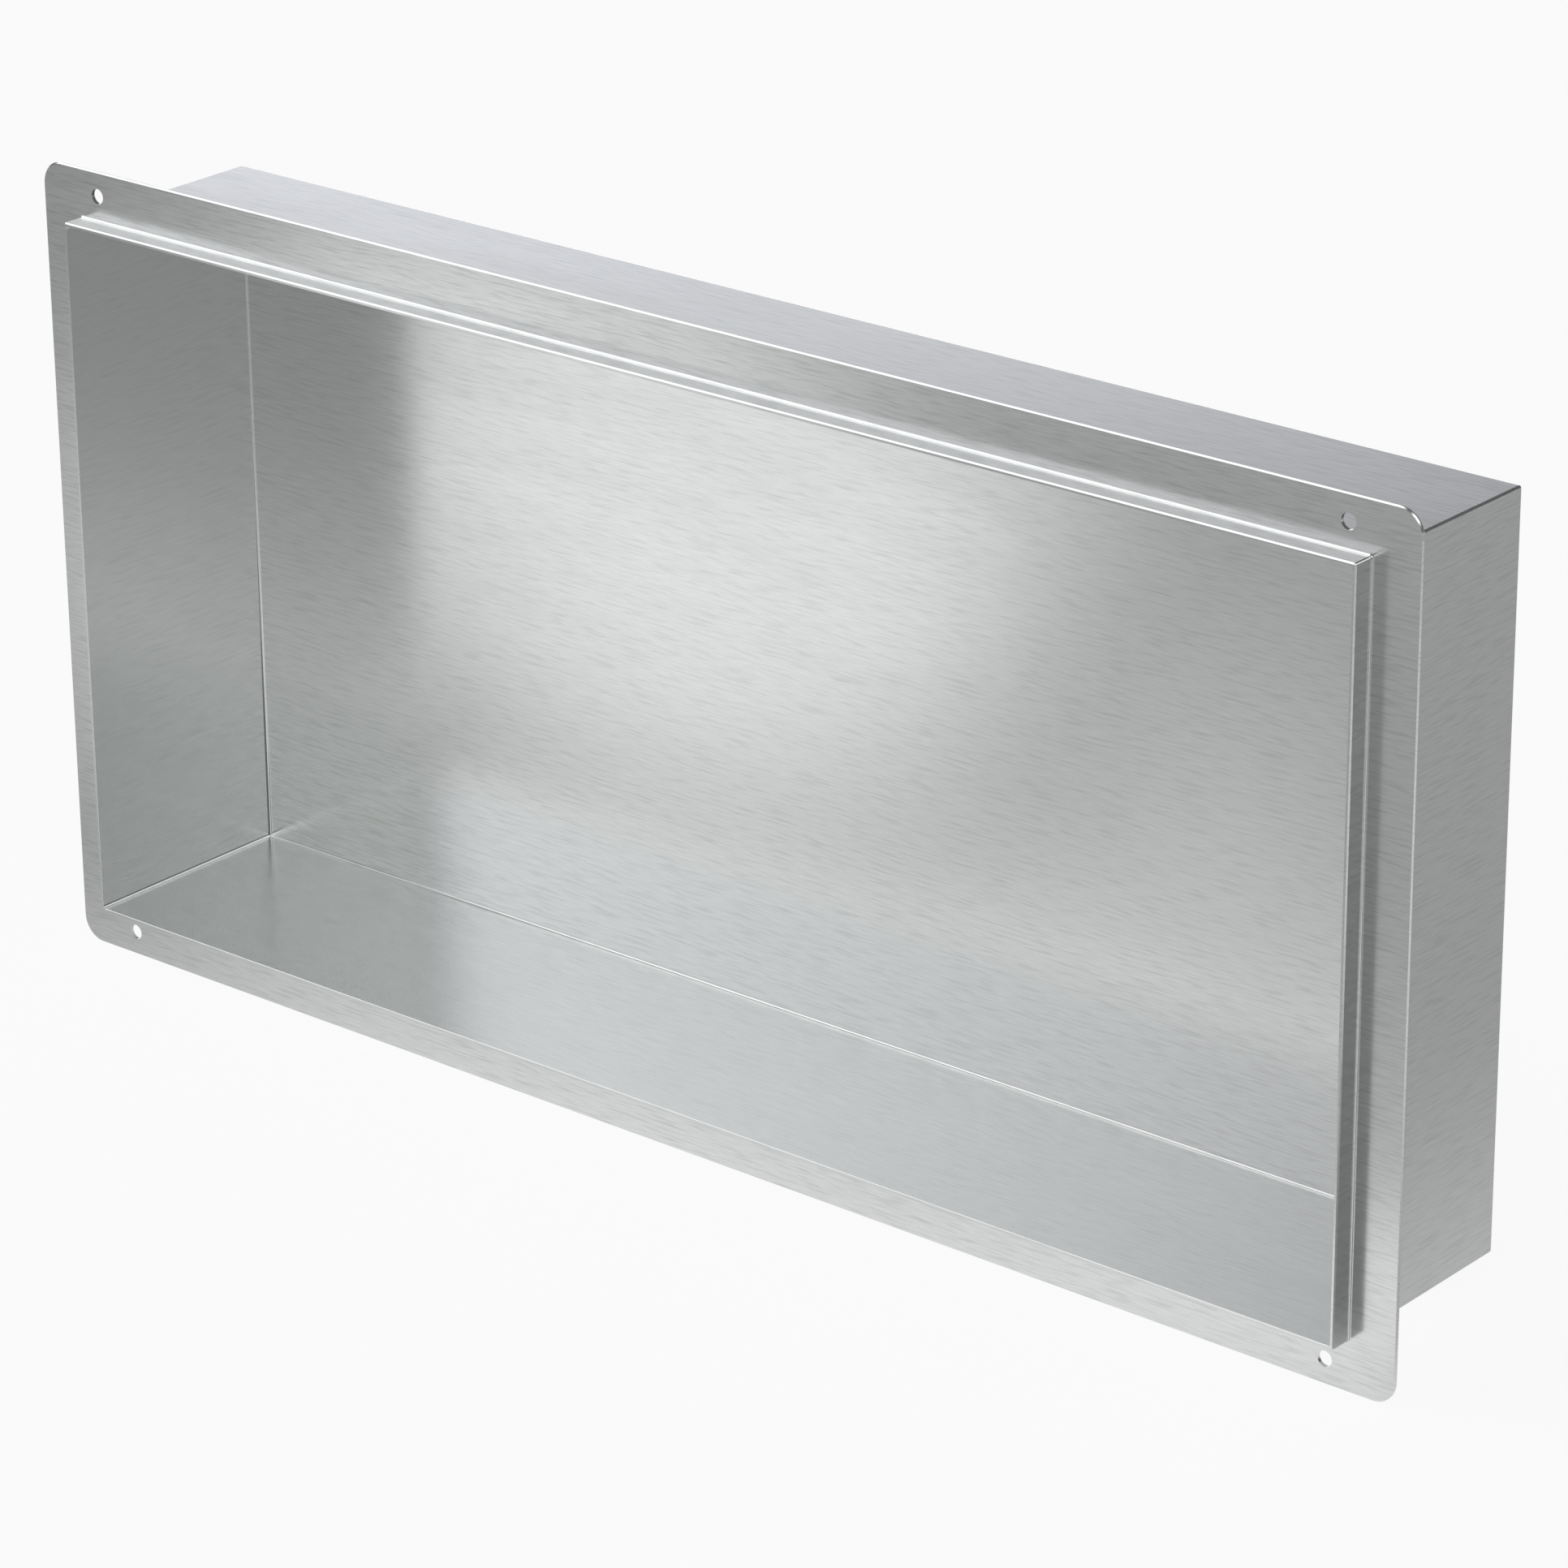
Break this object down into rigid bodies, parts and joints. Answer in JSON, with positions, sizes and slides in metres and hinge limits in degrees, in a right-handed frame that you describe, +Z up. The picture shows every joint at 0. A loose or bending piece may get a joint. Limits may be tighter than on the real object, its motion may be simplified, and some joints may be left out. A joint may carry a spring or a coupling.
{
  "type": "shower niche insert",
  "caption": "Recessed rectangular shower shelf of brushed stainless sheet: an open-fronted box with a flat screw flange set behind its front rim, tiled into a wall.",
  "frame": {"origin": "middle of the flange's back face, on the plane of the wall, in the centre of the four screw holes", "axes": "+X along the width to the right as seen from the room, +Y into the wall, +Z up"},
  "size_m": [0.653, 0.099, 0.333],
  "materials": {
    "brushed_stainless": "horizontally brushed, satin"
  },
  "bodies": {
    "root": {"niche_body": "brushed_stainless"}
  },
  "joints": []
}
